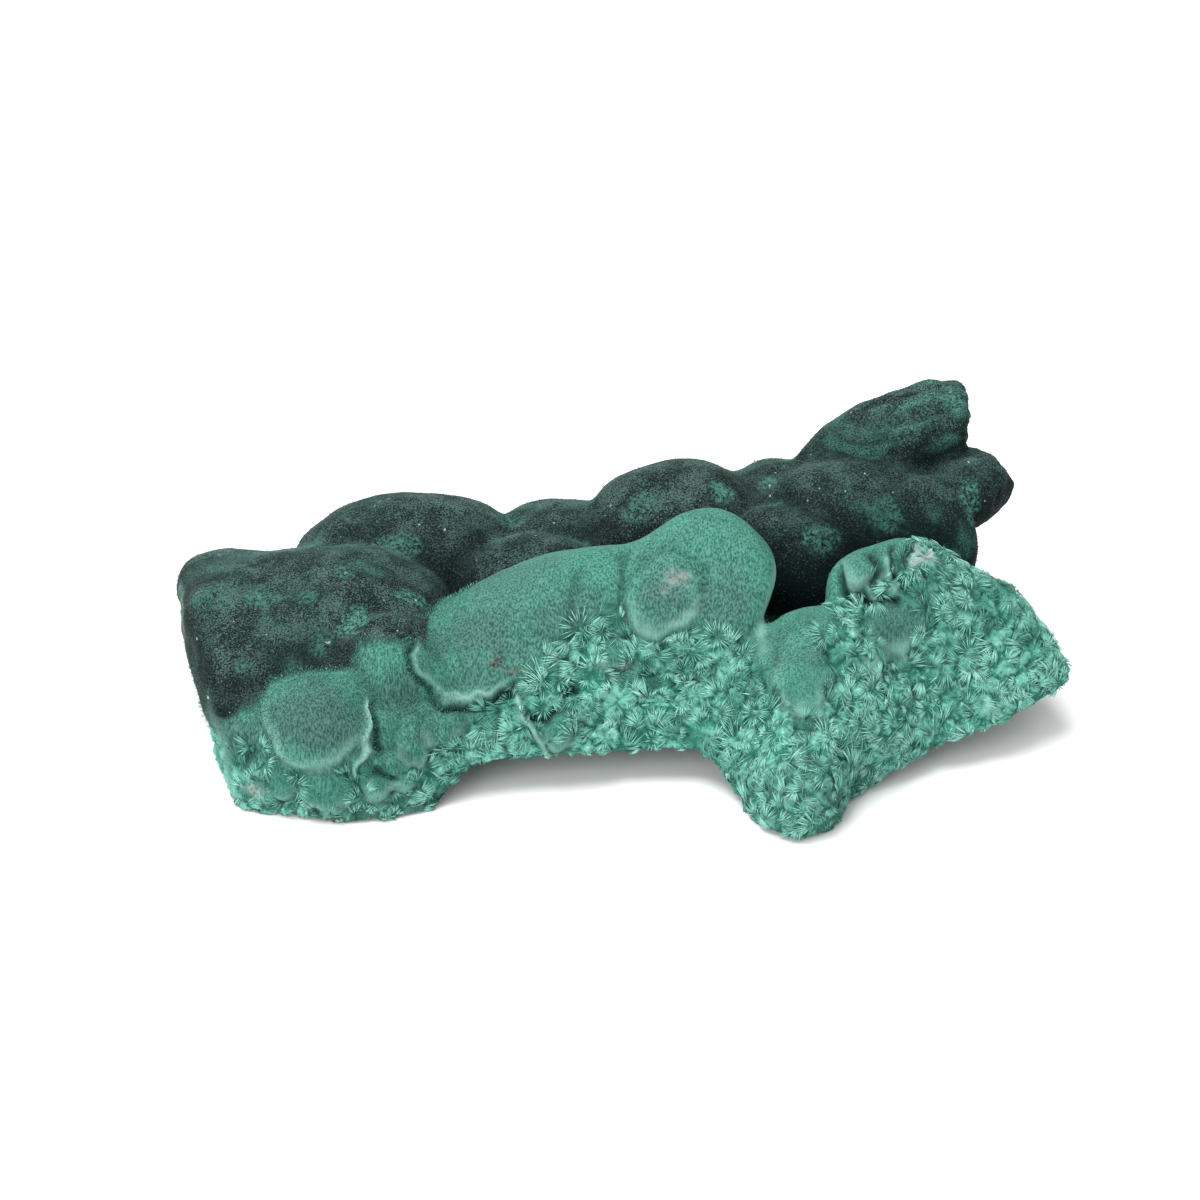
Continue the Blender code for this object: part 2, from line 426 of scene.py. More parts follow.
def evened(values, quads, passes):
    """Values at the vertices, averaged with their neighbours."""
    count = len(values)
    ends = np.concatenate([np.roll(quads, -n, 1)[:, 0:4].reshape(-1) for n in (1, 3)])
    starts = np.concatenate([quads.reshape(-1)] * 2)
    number = np.maximum(np.bincount(starts, minlength=count), 1)
    for _ in range(passes):
        if values.ndim == 1:
            mean = np.bincount(starts, values[ends], count) / number
        else:
            mean = np.stack([np.bincount(starts, column[ends], count) for column in values.T], 1)
            mean /= number[:, None]
        values = 0.5 * values + 0.5 * mean
    return values


def even_normals(verts, quads, passes):
    return unit(evened(vertex_normals(verts, quads), quads, passes))


# ------------------------------------
# Zones and relief.
# ------------------------------------
ZONE_PASSES = 6            # how often the normals are evened before the relief
LARGE_TUFT = 3.4
SMALL_TUFT = 1.5
EAR = (46.5, 20, 23)       # middle of the rough knob at the right end
EAR_REACH = (4.5, 7)       # it is full within the first distance and gone past the second

# Height under which the front breaks up into sprays, along X.
SPRAY_LINE_X = [-60, -44, -40, -33, -26, -22, -15, -8, -2, 4, 10, 17, 19, 24, 30, 36, 42, 60]
SPRAY_LINE_Z = [9, 9, 7, 6.5, 6, 8.5, 12, 16, 18.5, 17.5, 17.5, 16, 15.5, 17, 22, 25, 28, 28]

# Height over which the front stays dark velvet, along X.
VELVET_LINE_X = [-60, -47.5, -43, -41, -38, -35, -32.5, -31, -27, -23, -21]
VELVET_LINE_Z = [10, 10, 12.5, 15.5, 18, 18.5, 16.6, 18.5, 19.2, 18, 60]

# Lines on the front, as height in mm (negative for a crack), width, and points in X and Z.
FRONT_LINES = [
    (-0.7, 0.4, [(-25.8, 20), (-25, 18.4), (-24, 16), (-22.4, 12.8), (-20.4, 11.7)]),
    (-1.1, 0.5, [(-20.4, 11.7), (-19, 11.4), (-17, 11.3), (-14.3, 12.1), (-12, 13)]),
    (0.15, 0.35, [(-24.9, 19.6), (-23.6, 16.6), (-21.9, 13.8), (-20.2, 12.6)]),
    (0.3, 0.3, [(-20.2, 12.5), (-17.5, 12.1), (-14.3, 12.9), (-12.4, 13.6)]),
    (1, 0.4, [(-12, 13), (-11.4, 10), (-10.3, 7.8), (-9.3, 5.6)]),
    (-1.1, 0.45, [(-10.5, 9.7), (-8.6, 9.3), (-6.8, 10.2), (-5.6, 11.8)]),
    (0.7, 0.35, [(-30.4, 13.5), (-30, 11.5), (-30.8, 9.6), (-30.4, 8), (-31.6, 6)]),
    (-0.9, 0.5, [(-29.4, 12.6), (-29, 10.5), (-29.6, 8.4)]),
    (-0.8, 0.3, [(-29.8, 6), (-28, 5), (-26.6, 4.2)]),
    (-0.35, 0.8, [(-5, 23.5), (-4.6, 19), (-5.6, 15.5)]),
    (-0.5, 0.7, [(1, 26), (1.2, 21.5), (2.4, 17.5)]),
    (-1, 0.6, [(27, 22.2), (28.6, 20.6), (31, 20.9), (32.6, 19.6), (34.6, 20)]),
    (0.4, 0.5, [(27.2, 23.4), (29, 21.6), (31.2, 21.7), (33, 20.6)]),
    (-0.9, 0.55, [(31.2, 25.6), (32.4, 23.6), (31.8, 21.9), (33.4, 20.7)]),
    (-0.9, 0.55, [(34.6, 26), (34.2, 23.8), (36, 22.4), (36.2, 20.6)]),
    (-0.7, 0.5, [(37, 25.4), (37.8, 23.4), (39.4, 22.2)]),
    (0.3, 0.4, [(33, 24.8), (33.4, 23), (34.6, 21.2)]),
]
# Rounded nodules on the front: centre in X and Z, radius and height.
NODULES = [
    (-36, 13.2, 6.6, 0.9), (-28, 5, 3.1, 1.5), (-40.6, 5.4, 2.8, 1), (-35.2, 4, 3.2, 1),
    (-24.4, 8.6, 2.8, 0.8), (6.2, 21.6, 4.7, 0.9), (22.4, 15.8, 3.7, 0.9),
    (34.8, 17.4, 3.8, 0.8), (30, 23.5, 2, 0.9), (33.6, 24.4, 1.9, 0.9),
    (-20.6, 9.4, 2.4, 0.8), (-7.4, 8, 2.4, 0.9), (0.4, 15.6, 2.4, 0.8),
]
# Patches of another tint, and patches of painted shade, by kind: centre, radii and strength.
PATCHES = {
    "scuff": [
        ((-43.6, -1.1, 18), (2.6, 2.6, 2), 0.8),
        ((-32, -7.2, 19.3), (2.4, 2.4, 2.4), 1),
        ((-25.5, -1.4, 19), (3, 1.5, 1.5), 0.9),
        ((-28, 10.7, 20), (3, 2, 2), 0.7),
        ((-33.7, 0.7, 21.4), (1.2, 1.2, 1.2), 0.6),
        ((14, 17.5, 24), (1.6, 1.6, 1.6), 1),
        ((26, 9.5, 21.5), (3, 2, 2), 0.7),
        ((34.5, 12.5, 23.5), (2.5, 2, 2), 0.6),
        ((-42, 12, 17.5), (6, 4, 3), 0.6),
        ((-50, 0, 18.6), (3, 3, 2), 0.5),
        ((3.5, 15.5, 23), (3, 2, 2), 0.5),
        ((37, 23, 32), (7, 3, 2.5), 0.2),
        ((45.5, 14, 25), (1.4, 3, 3), 0.9),
        ((44, 26, 33), (2, 3, 1.6), 0.7),
        ((8, 12, 22), (2, 1.5, 1.5), 0.6),
        ((20, 20, 24.5), (1.6, 1.4, 1.4), 0.7),
        ((-14, 19, 20), (2.6, 1.6, 1.6), 0.6),
        ((-38, -3, 19.5), (1.6, 1.6, 1.4), 0.6),
        ((-45, -10, 14), (1.6, 1.6, 1.6), 0.5),
        ((-36, -9, 17), (1.8, 1.8, 1.8), 0.5),
    ],
    "grey": [
        ((38.6, 1, 25), (2.6, 3, 1.6), 0.9),
        ((22.6, -24.6, 3.6), (1.3, 1.6, 1.3), 1),
        ((22.4, -24.6, 0.8), (0.9, 1.5, 0.8), 0.8),
        ((-43.9, -19.2, 2.6), (2, 2, 2), 0.6),
        ((7.5, -3.5, 23), (2, 2, 1.6), 0.4),
    ],
    "brown": [
        ((-14.7, -10.3, 15.6), (1.1, 2.5, 0.8), 0.8),
        ((-12.9, -10.7, 14.4), (0.9, 2, 0.7), 0.7),
        ((1.2, -8.8, 14), (1.1, 2, 0.9), 0.8),
        ((-4.4, -12.7, 8.4), (1.6, 2, 1.3), 0.9),
        ((7.9, -2.9, 23.4), (0.9, 1.5, 0.9), 0.6),
        ((-13.5, -13.5, 8.5), (1, 2, 0.8), 0.6),
        ((20, -18, 8), (1.2, 2, 1.5), 0.5),
        ((30, -16, 4), (1.6, 2, 1.4), 0.5),
    ],
    "dull": [
        ((-18, -9, 18.5), (7, 5, 2.6), 0.8),
        ((-8, -6.5, 19.5), (4, 4, 2.4), 0.7),
        ((6.2, -4, 21.2), (3.6, 4, 3.2), 0.8),
        ((12.6, -3.5, 20.5), (3.4, 4, 4.5), 0.7),
        ((-36, -18.5, 12.6), (5, 4, 4.2), 1),
        ((-26.5, -13, 13.5), (3, 4, 3), 0.8),
        ((-24, -14.5, 8.6), (2.4, 3, 2.4), 0.8),
        ((-45.5, -16.5, 7.5), (3.6, 4, 4), 0.9),
        ((22.4, -10, 16), (3.4, 3.5, 3), 0.7),
        ((34.8, -4.5, 17.4), (3, 4, 3), 0.6),
        ((22, -20, 5), (7, 8, 6), 0.6),
        ((43, -1, 22), (5, 5, 3), 0.6),
    ],
    # patches of painted shade in the valleys of the dark velvet
    "deep_shade": [
        ((-33, -11.5, 16.3), (13, 5, 3.2), 0.8),
        ((-46, -14.5, 12.5), (5, 4, 3.6), 0.7),
        ((-21, -3, 18), (5, 4, 3), 0.7),
        ((20, 3, 17), (6, 5, 6), 0.8),
        ((-9, 5, 17), (9, 4, 2.4), 0.5),
    ],
    "shade": [
        ((15.5, -12, 9), (3, 5, 6), 0.9),
        ((21, -17, 8), (3.5, 4, 3), 0.7),
        ((-21.5, -14.5, 8), (3, 4, 2.4), 0.6),
        ((41, -6, 13), (3, 4, 2.5), 0.5),
    ],
}


def line_distance(place, line):
    """Distance in a plane from each place to an open line."""
    nearest = np.full(len(place), FAR)
    for here, there in zip(line, line[1:]):
        here, edge = np.array(here, float), np.subtract(there, here).astype(float)
        share = np.clip((place - here) @ edge / (edge @ edge), 0, 1)[:, None]
        nearest = np.minimum(nearest, np.linalg.norm(place - here - edge * share, axis=1))
    return nearest


def front_features(verts, facing):
    """Height of the lines and nodules on the front, and the shares of painted crack shade, painted rim
    highlight and nodule.
    """
    wobble = np.stack([noise(verts, 4, 81), noise(verts, 4, 82)], 1) * 1.1
    wobble += np.stack([noise(verts, 1.4, 83), noise(verts, 1.4, 84)], 1) * 0.4
    place = verts[:, [0, 2]] + wobble
    height, crack_shade, rim_highlight, knob = (np.zeros(len(verts)) for _ in range(4))
    for rise, width, line in FRONT_LINES:
        share = np.exp(-(line_distance(place, line) / width) ** 2) * facing
        height += rise * share
        if rise < 0:
            # painted shade in the cracks
            crack_shade = np.maximum(crack_shade, share * min(-rise, 1))
        else:
            # painted highlight along the raised lines
            rim_highlight = np.maximum(rim_highlight, share * min(0.3 + rise, 1))
    for x, z, radius, rise in NODULES:
        far = np.linalg.norm(place - (x, z), axis=1) / radius
        height += rise * np.clip(1 - far**2, 0, 1) ** 0.7 * facing
        edge = np.exp(-((far - 1.02) * radius / 0.6) ** 2) * facing
        low_side = smooth_step(0.4, -0.8, (place[:, 1] - z) / radius)
        # painted shade: a dark ring around the foot of each nodule
        crack_shade = np.maximum(crack_shade, 0.3 * edge)
        knob = np.maximum(knob, smooth_step(1.05, 0.85, far) * facing)
        # painted highlight along the lower edge of each nodule
        rim_highlight = np.maximum(rim_highlight, 0.5 * low_side * np.exp(-((far - 0.85) * radius / 0.8) ** 2) * facing)
    return height, crack_shade, rim_highlight, knob


def patch_share(kind, verts, ragged):
    share = np.zeros(len(verts))
    for centre, radii, strength in PATCHES[kind]:
        far = np.linalg.norm((verts - np.array(centre)) / np.array(radii, float), axis=1)
        share = np.maximum(share, strength * smooth_step(1.25, 0.6, far + 0.4 * ragged))
    return share


def zones(verts, normals):
    """Shares of each kind of surface at the vertices, of the painted shade and painted highlight on the
    dark velvet, and of the creases, from 0 to 1.
    """
    x, y, z = verts.T
    second = np.full(len(verts), FAR)
    dark, slab, green = regions(verts, second)
    front = front_gap(verts)
    on_front = smooth_step(-1.6, -0.3, front)
    on_left = smooth_step(-0.9, -0.2, left_gap(verts))
    under = smooth_step(-0.6, -0.85, normals[:, 2]) * (z < 8)
    ragged = 0.35 * noise(verts, 1.2, 33)
    lead = 1.2 * smooth_step(-18, -24, x)
    lobe_side = smooth_step(-0.4, 0.4, np.minimum(dark, slab) - green - lead + ragged)
    over = z - np.interp(x, VELVET_LINE_X, VELVET_LINE_Z)
    fibrous = np.maximum(on_front, lobe_side) * smooth_step(0.5, -0.5, over + ragged)
    fibrous = fibrous * (1 - on_left * smooth_step(5, 9, z))
    low_left = on_left * smooth_step(10, 6.5, z + 2 * ragged)
    low_right = smooth_step(38, 41, x) * smooth_step(13.5, 10.5, z)
    low_left *= smooth_step(2, -2, y)
    low_right *= smooth_step(14, 11, y)
    fibrous = np.maximum(fibrous, np.maximum(low_left, low_right))
    beside = np.maximum(second - dark, 0)
    crease = np.exp(-beside / 1.4) * (1 - fibrous)
    # painted shade: the dark velvet darker near the creases between lobes and on flanks that face forwards
    velvet_shade = np.exp(-beside / 3.2) * smooth_step(0.25, -0.45, normals[:, 1])
    # painted highlight: the dark velvet lighter on the upward crests beside the creases
    crest_highlight = np.exp(-beside / 2.6) * smooth_step(-0.1, 0.45, normals[:, 1])
    crest_highlight *= smooth_step(0.4, 0.8, normals[:, 2])
    rib = z - np.interp(x, SPRAY_LINE_X, SPRAY_LINE_Z)
    rib += 1.6 * noise(verts, 5, 31) + 0.8 * noise(verts, 2, 32)
    spray = fibrous * smooth_step(1.5, -1.5, rib)
    hidden = smooth_step(2, 7, y)
    rock = np.maximum(under, on_left * hidden * smooth_step(0.1, 0.5, layered(verts, 7, 2, 60) + 0.25))
    back_foot = smooth_step(5, 1.5, z + 1.5 * noise(verts, 4, 61)) * (y > 0)
    rock = np.maximum(rock, back_foot)
    share = {"fibrous": fibrous, "spray": spray, "rock": rock, "velvet_shade": velvet_shade, "crest_highlight": crest_highlight}
    return share, crease


def tuft_relief(verts, normals, size, salt):
    """Cupped tufts with fibres that run out from their centres: height from 0 to 1, and the centres."""
    centre, near, after, chance = nearest_cells(verts, size, salt)
    along = verts - centre
    along -= (along * normals).sum(1)[:, None] * normals
    reach = np.linalg.norm(along, axis=1)
    heading = along / np.maximum(reach, 1e-6)[:, None]
    share = np.clip(near / np.maximum(0.5 * (near + after), 1e-6), 0, 1)
    ridges = noise(heading * 3.2 + chance[:, None] * 40, 1, salt + 9)
    ridges += 0.6 * noise(heading * 7.0 + chance[:, None] * 90, 1, salt + 10)
    peak = 0.35 + 0.45 * chance
    cup = np.where(share < peak, (share / peak) ** 1.2, 1 - ((share - peak) / (1 - peak)) ** 2)
    height = 0.25 + 0.45 * cup + 0.35 * ridges * smooth_step(0.05, 0.5, share)
    height *= smooth_step(0, 0.35, (after - near) / size) * 0.5 + 0.5
    return height, centre


def shaped(verts, quads):
    """The vertices moved out to the relief, the shares at them, and the centres of the tufts."""
    x, y, z = verts.T
    normals = even_normals(verts, quads, ZONE_PASSES)
    share, crease = zones(verts, normals)
    fibrous, rock = share["fibrous"], share["rock"]
    velvet = 1 - np.maximum(fibrous, rock)
    facing = fibrous * smooth_step(0.25, -0.25, normals[:, 1])
    feature, crack_shade, rim_highlight, knob = front_features(verts, facing)
    spray = share["spray"] = share["spray"] * (1 - 0.6 * knob)

    warp = np.stack([noise(verts, 2.2, salt) for salt in (71, 72, 73)], 1) * 0.5
    large, centre = tuft_relief(verts + warp, normals, LARGE_TUFT, 11)
    small, _ = tuft_relief(verts + warp, normals, SMALL_TUFT, 12)
    swell = layered(verts, 9, 2, 41)
    grain = layered(verts, 1.6, 3, 44)
    broken = layered(verts, 3.4, 4, 47)
    ragged = layered(verts, 1.8, 3, 52)
    hill = smooth_step(27, 33, z + 0.3 * (x - 38)) * velvet
    striated = layered(turned(verts, 0, 20) * (0.12, 1, 1), 1.0, 2, 55)
    ear = smooth_step(EAR_REACH[1], EAR_REACH[0], np.linalg.norm(verts - EAR, axis=1)) * velvet
    folds = layered(turned(verts, 25, 0) * (1, 1.7, 1), 6.5, 2, 58)
    height = 0.45 * swell + velvet * (0.06 * grain + 0.55 * folds) + feature
    height += spray * (0.7 * large + 0.35 * small - 0.95 + 0.25 * grain)
    height += (fibrous - spray) * (0.1 * grain)
    height += rock * (1.3 * broken + 0.25 * grain - 0.3)
    height += hill * 0.8 * striated + ear * (1.2 * broken + 0.3)
    height += velvet * 0.25 - crease * 0.75
    moved = verts + normals * height[:, None]
    moved[:, 2] = np.where(z < 0.05, np.maximum(moved[:, 2], 0), np.maximum(moved[:, 2], 0.02))

    # how high the tufts rise; the material paints their raised parts lighter and hollows darker, as
    # painted light and shade
    share["lift"] = spray * (0.65 * large + 0.35 * small)
    share["crack_shade"] = crack_shade
    # painted highlight along the edges of the left end and of the ridge's right side
    left_edge = np.exp(-((left_gap(verts) + 0.3) / 0.5) ** 2) * (y < 5)
    left_edge *= smooth_step(13, 8, z)
    gap_edge = np.exp(-((past_ridge(verts) + 0.4) / 0.5) ** 2)
    gap_edge = gap_edge * facing * smooth_step(16, 18, z)
    share["rim_highlight"] = np.maximum(rim_highlight, np.maximum(0.4 * left_edge, 0.6 * gap_edge))
    share["hill"] = hill * smooth_step(0.1, 0.45, striated)
    # how much a face points up; the material uses it for a painted sheen on the tops
    share["up"] = smooth_step(0.15, 0.95, normals[:, 2])
    shadow = spray * smooth_step(0.15, 0.6, layered(verts, 6, 2, 90))
    share["shade"] = np.maximum(shadow, patch_share("shade", verts, ragged))
    for kind in ("scuff", "grey", "brown", "dull"):
        share[kind] = patch_share(kind, verts, 1.6 * ragged)
    # patches of painted shade on the dark velvet join the painted shade of the creases
    share["velvet_shade"] = np.maximum(share["velvet_shade"], patch_share("deep_shade", verts, ragged))
    return moved, share, centre


def new_mesh(name, verts, faces):
    """A mesh from vertices in millimetres and faces that all have the same number of corners."""
    mesh = bpy.data.meshes.new(name)
    mesh.vertices.add(len(verts))
    mesh.vertices.foreach_set("co", (verts * MM).astype(np.float32).ravel())
    mesh.loops.add(faces.size)
    mesh.loops.foreach_set("vertex_index", faces.ravel().astype(np.int32))
    mesh.polygons.add(len(faces))
    starts = np.arange(0, faces.size, faces.shape[1], dtype=np.int32)
    mesh.polygons.foreach_set("loop_start", starts)
    mesh.update(calc_edges=True)
    return mesh


def set_attribute(mesh, name, values):
    layer = mesh.attributes.new(name, "FLOAT", "POINT")
    layer.data.foreach_set("value", values.astype(np.float32))


def add_object(name, data):
    obj = bpy.data.objects.new(name, data)
    bpy.context.scene.collection.objects.link(obj)
    return obj


def stone_object():
    verts, quads = surface_of(*sampled_field())
    low, high = verts.min(0), verts.max(0)
    cad_low, cad_high = (np.array(corner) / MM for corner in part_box(NODE))
    shift = (cad_low + cad_high) / 2 - (low + high) / 2
    shift[2] = cad_low[2]
    moved, share, centre = shaped(verts, quads)
    mesh = new_mesh("malachite_stone", moved + shift, quads)
    mesh.validate()
    mesh.shade_smooth()
    for name, values in share.items():
        set_attribute(mesh, name, values)
    first = (centre[quads[:, 0]] + shift) * MM
    layer = mesh.attributes.new("tuft_centre", "FLOAT_VECTOR", "FACE")
    layer.data.foreach_set("vector", first.astype(np.float32).ravel())
    return add_object("malachite_stone", mesh), shift, (moved, quads, share)


# ------------------------------------
# Material.
# ------------------------------------
def srgb(red, green, blue):
    """A colour given as it shows on a screen, from 0 to 255, in the renderer's linear values."""
    values = [channel / 255 for channel in (red, green, blue)]
    return (*[v / 12.92 if v <= 0.04045 else ((v + 0.055) / 1.055) ** 2.4 for v in values], 1)


class Nodes:
    """Short ways to add and join shader nodes."""

    def __init__(self, material):
        material.use_nodes = True
        self.tree = material.node_tree
        self.shader = self.tree.nodes["Principled BSDF"]

    def new(self, kind, **settings):
        node = self.tree.nodes.new(kind)
        for name, value in settings.items():
            setattr(node, name, value)
        return node

    def put(self, value, socket):
        if isinstance(value, bpy.types.NodeSocket):
            self.tree.links.new(value, socket)
        else:
            socket.default_value = value

    def attribute(self, name, vector=False):
        node = self.new("ShaderNodeAttribute", attribute_name=name)
        return node.outputs["Vector" if vector else "Fac"]

    def math(self, operation, a, b=0.0, clamp=False):
        node = self.new("ShaderNodeMath", operation=operation, use_clamp=clamp)
        self.put(a, node.inputs[0])
        self.put(b, node.inputs[1])
        return node.outputs[0]

    def times(self, a, b, clamp=False):
        return self.math("MULTIPLY", a, b, clamp)

    def vector(self, operation, a, b=None, scale=None):
        node = self.new("ShaderNodeVectorMath", operation=operation)
        self.put(a, node.inputs[0])
        if b is not None:
            self.put(b, node.inputs[1])
        if scale is not None:
            self.put(scale, node.inputs["Scale"])
        return node.outputs["Vector"]

    def noise(self, place, scale, detail=2.0, roughness=0.5, distortion=0.0):
        node = self.new("ShaderNodeTexNoise")
        self.put(place, node.inputs["Vector"])
        node.inputs["Scale"].default_value = scale
        node.inputs["Detail"].default_value = detail
        node.inputs["Roughness"].default_value = roughness
        node.inputs["Distortion"].default_value = distortion
        return node.outputs["Fac"]

    def span(self, value, low, high, new_low=0.0, new_high=1.0):
        node = self.new("ShaderNodeMapRange", interpolation_type="SMOOTHSTEP")
        self.put(value, node.inputs["Value"])
        node.inputs["From Min"].default_value = low
        node.inputs["From Max"].default_value = high
        node.inputs["To Min"].default_value = new_low
        node.inputs["To Max"].default_value = new_high
        return node.outputs[0]

    def mix(self, share, a, b, blend="MIX"):
        node = self.new("ShaderNodeMix", data_type="RGBA", blend_type=blend)
        self.put(share, node.inputs["Factor"])
        self.put(a, node.inputs["A"])
        self.put(b, node.inputs["B"])
        return node.outputs["Result"]


DARK_LOW = srgb(10, 22, 21)
DARK_HIGH = srgb(76, 102, 98)
DARK_GREEN = srgb(14, 50, 43)
# the pale of scuffed pile, also used for the painted highlight on the crests
SCUFF_AND_HIGHLIGHT = srgb(78, 140, 124)
PILE_LOW = srgb(36, 96, 82)
PILE_HIGH = srgb(90, 150, 134)
DULL_LOW = srgb(34, 70, 64)
DULL_HIGH = srgb(86, 122, 115)
GREEN_LOW = srgb(44, 108, 94)
GREEN_MID = srgb(106, 180, 162)
GREEN_HIGH = srgb(162, 218, 204)
CRACK_SHADE_AND_STAIN = srgb(8, 26, 22)
RIM_HIGHLIGHT = srgb(158, 206, 192)
GREY = srgb(178, 184, 180)
BROWN = srgb(112, 104, 97)
ROCK_LOW = srgb(84, 78, 70)
ROCK_HIGH = srgb(140, 134, 122)
PILE_SCALE = 5600          # bumps per metre of the velvet's pile


def stone_material():
    material = bpy.data.materials.new("velvet_malachite")
    n = Nodes(material)
    place = n.new("ShaderNodeTexCoord").outputs["Object"]
    pile = n.noise(place, PILE_SCALE, 1.5, 0.7)
    strands = n.noise(n.vector("MULTIPLY", place, (0.8, 0.8, 0.18)), PILE_SCALE, 2.0, 0.6)
    mottle = n.noise(place, 260, 3.0, 0.6)
    patches = n.noise(place, 110, 4.0, 0.6, 0.6)
    ragged = n.span(n.noise(place, 900, 3.0, 0.7), 0.36, 0.6)

    clumps = n.noise(place, 4600, 2.0, 0.8)
    # painted sheen: more pale specks on faces that point up
    top_sheen = n.times(n.attribute("up"), n.span(mottle, 0.3, 0.7, 0.07, 0.2))
    speck = n.span(n.math("ADD", clumps, top_sheen), 0.57, 0.76)
    dark = n.mix(speck, DARK_LOW, DARK_HIGH)
    dark = n.mix(n.times(n.span(patches, 0.42, 0.62), 0.25), dark, DARK_GREEN)
    # painted shade: darker velvet in the creases, on forward-facing flanks and in the shaded patches
    dark = n.mix(n.times(n.attribute("velvet_shade"), 0.75), dark, DARK_LOW)
    # painted highlight on the crests beside the creases, in the scuffed pile's colour
    dark = n.mix(n.times(n.attribute("crest_highlight"), n.span(clumps, 0.36, 0.6, 0.1, 0.5)), dark, SCUFF_AND_HIGHLIGHT)
    dark = n.mix(n.times(n.attribute("hill"), n.span(clumps, 0.4, 0.6, 0.1, 0.45)), dark, SCUFF_AND_HIGHLIGHT)
    scuffs = n.times(n.span(patches, 0.58, 0.7), n.span(pile, 0.4, 0.6))
    scuffs = n.times(scuffs, 0.4)
    torn = n.span(n.noise(place, 2000, 3.0, 0.8), 0.42, 0.62)
    worn = n.times(n.attribute("scuff"), n.times(torn, 0.8))
    dark = n.mix(n.math("MAXIMUM", scuffs, worn), dark, SCUFF_AND_HIGHLIGHT)
    flecks = n.span(n.noise(place, 1500, 0.0), 0.845, 0.875)
    dark = n.mix(n.times(flecks, 0.7), dark, GREY)

    outward = n.vector("SUBTRACT", place, n.attribute("tuft_centre", True))
    outward = n.vector("NORMALIZE", outward)
    streaks = n.noise(outward, 9.0, 3.0, 0.6)
    fibres = n.noise(outward, 26.0, 2.0, 0.6)
    tone = n.math("ADD", n.times(streaks, 0.5), n.times(fibres, 0.5))
    # painted light and shade: raised parts of the tufts lighter, hollows darker
    tone = n.math("ADD", tone, n.times(n.math("SUBTRACT", n.attribute("lift"), 0.45), 0.5))
    spray = n.mix(n.span(tone, 0.36, 0.56), GREEN_LOW, GREEN_MID)
    spray = n.mix(n.span(tone, 0.54, 0.8), spray, GREEN_HIGH)
    spray = n.mix(n.times(n.attribute("shade"), 0.7), spray, GREEN_LOW)

    smooth = n.mix(n.span(strands, 0.3, 0.7), PILE_LOW, PILE_HIGH)
    dull = n.mix(n.span(strands, 0.3, 0.7), DULL_LOW, DULL_HIGH)
    smooth = n.mix(n.times(n.span(mottle, 0.45, 0.75), 0.35), smooth, dull)
    smooth = n.mix(n.times(n.span(patches, 0.42, 0.66), 0.55), smooth, dull)
    green = n.mix(n.attribute("spray"), smooth, spray)
    green = n.mix(n.times(n.attribute("dull"), 0.9), green, dull)
    colour = n.mix(n.attribute("fibrous"), dark, green)
    rock = n.mix(n.span(n.noise(place, 700, 5.0, 0.75), 0.36, 0.64), ROCK_LOW, ROCK_HIGH)
    stain = n.noise(place, 170, 8.0, 0.75, 0.4)
    rock = n.mix(n.times(n.span(stain, 0.4, 0.5), 0.85), rock, GREEN_LOW)
    rock = n.mix(n.times(n.span(stain, 0.55, 0.66), 0.8), rock, DARK_GREEN)
    colour = n.mix(n.attribute("rock"), colour, rock)
    # painted highlight along raised lines and edges
    colour = n.mix(n.times(n.attribute("rim_highlight"), 0.75, True), colour, RIM_HIGHLIGHT)
    # painted shade in the cracks and around the nodules
    colour = n.mix(n.times(n.attribute("crack_shade"), 0.9, True), colour, CRACK_SHADE_AND_STAIN)
    # brown stains, mottled with the same near-black
    colour = n.mix(n.times(n.attribute("brown"), ragged), colour, n.mix(torn, CRACK_SHADE_AND_STAIN, BROWN))
    colour = n.mix(n.times(n.attribute("grey"), ragged), colour, GREY)
    n.put(colour, n.shader.inputs["Base Color"])

    n.put(n.span(pile, 0.3, 0.7, 0.62, 0.9), n.shader.inputs["Roughness"])
    bump = n.new("ShaderNodeBump")
    bump.inputs["Strength"].default_value = 0.6
    bump.inputs["Distance"].default_value = 0.00025
    n.put(n.math("ADD", strands, n.times(fibres, n.attribute("spray"))), bump.inputs["Height"])
    n.put(bump.outputs[0], n.shader.inputs["Normal"])
    n.shader.inputs["Sheen Weight"].default_value = 0.1
    n.shader.inputs["Sheen Roughness"].default_value = 0.22
    n.shader.inputs["Sheen Tint"].default_value = srgb(176, 214, 204)
    n.shader.inputs["Specular IOR Level"].default_value = 0.1
    return material


# ------------------------------------
# Fibres: fans and stars of needles on the broken front, and short strands in the dark velvet and
# at its edge.
# ------------------------------------
STAR_SPACING = 1.35        # least distance between the middles of two sprays
STAR_COUNT = 1100          # most sprays
STAR_HEIGHT = (-0.15, 0.1)  # of a spray's middle over the surface
NEEDLES_IN_STAR = (22, 40)
WHOLE_STAR_CHANCE = 0.1    # the other sprays are fans
FAN_ANGLE = (0.7, 2.2)     # in radians
NEEDLE_LENGTH = (1.4, 3.6)
NEEDLE_WIDTH = (0.035, 0.07)
STRAND_COUNT = 5200        # strands at the edge of the dark velvet
STRAND_LENGTH = (0.35, 0.8)
STRAND_ROOT = 0.15         # how deep in the stone a strand starts
VELVET_COUNT = 9000        # strands of the pile
PILE_LENGTH = (0.2, 0.45)
PILE_ROOT = 0.1
STRAND_WIDTH = (0.035, 0.06)
WIDEST = 0.55              # place along a needle where it is widest
BOW = 0.07                 # how far its middle bows outwards, as a share of its length
LOWEST = 0.03              # least height of a needle over the floor
NEEDLE_PASSES = 4          # how often the normals are evened before the needles
SEED = 7


def tangents(normals):
    """Two directions along the surface for each normal."""
    side = unit(np.cross(normals, (0.31, 0.52, 0.8)))
    return side, np.cross(normals, side)


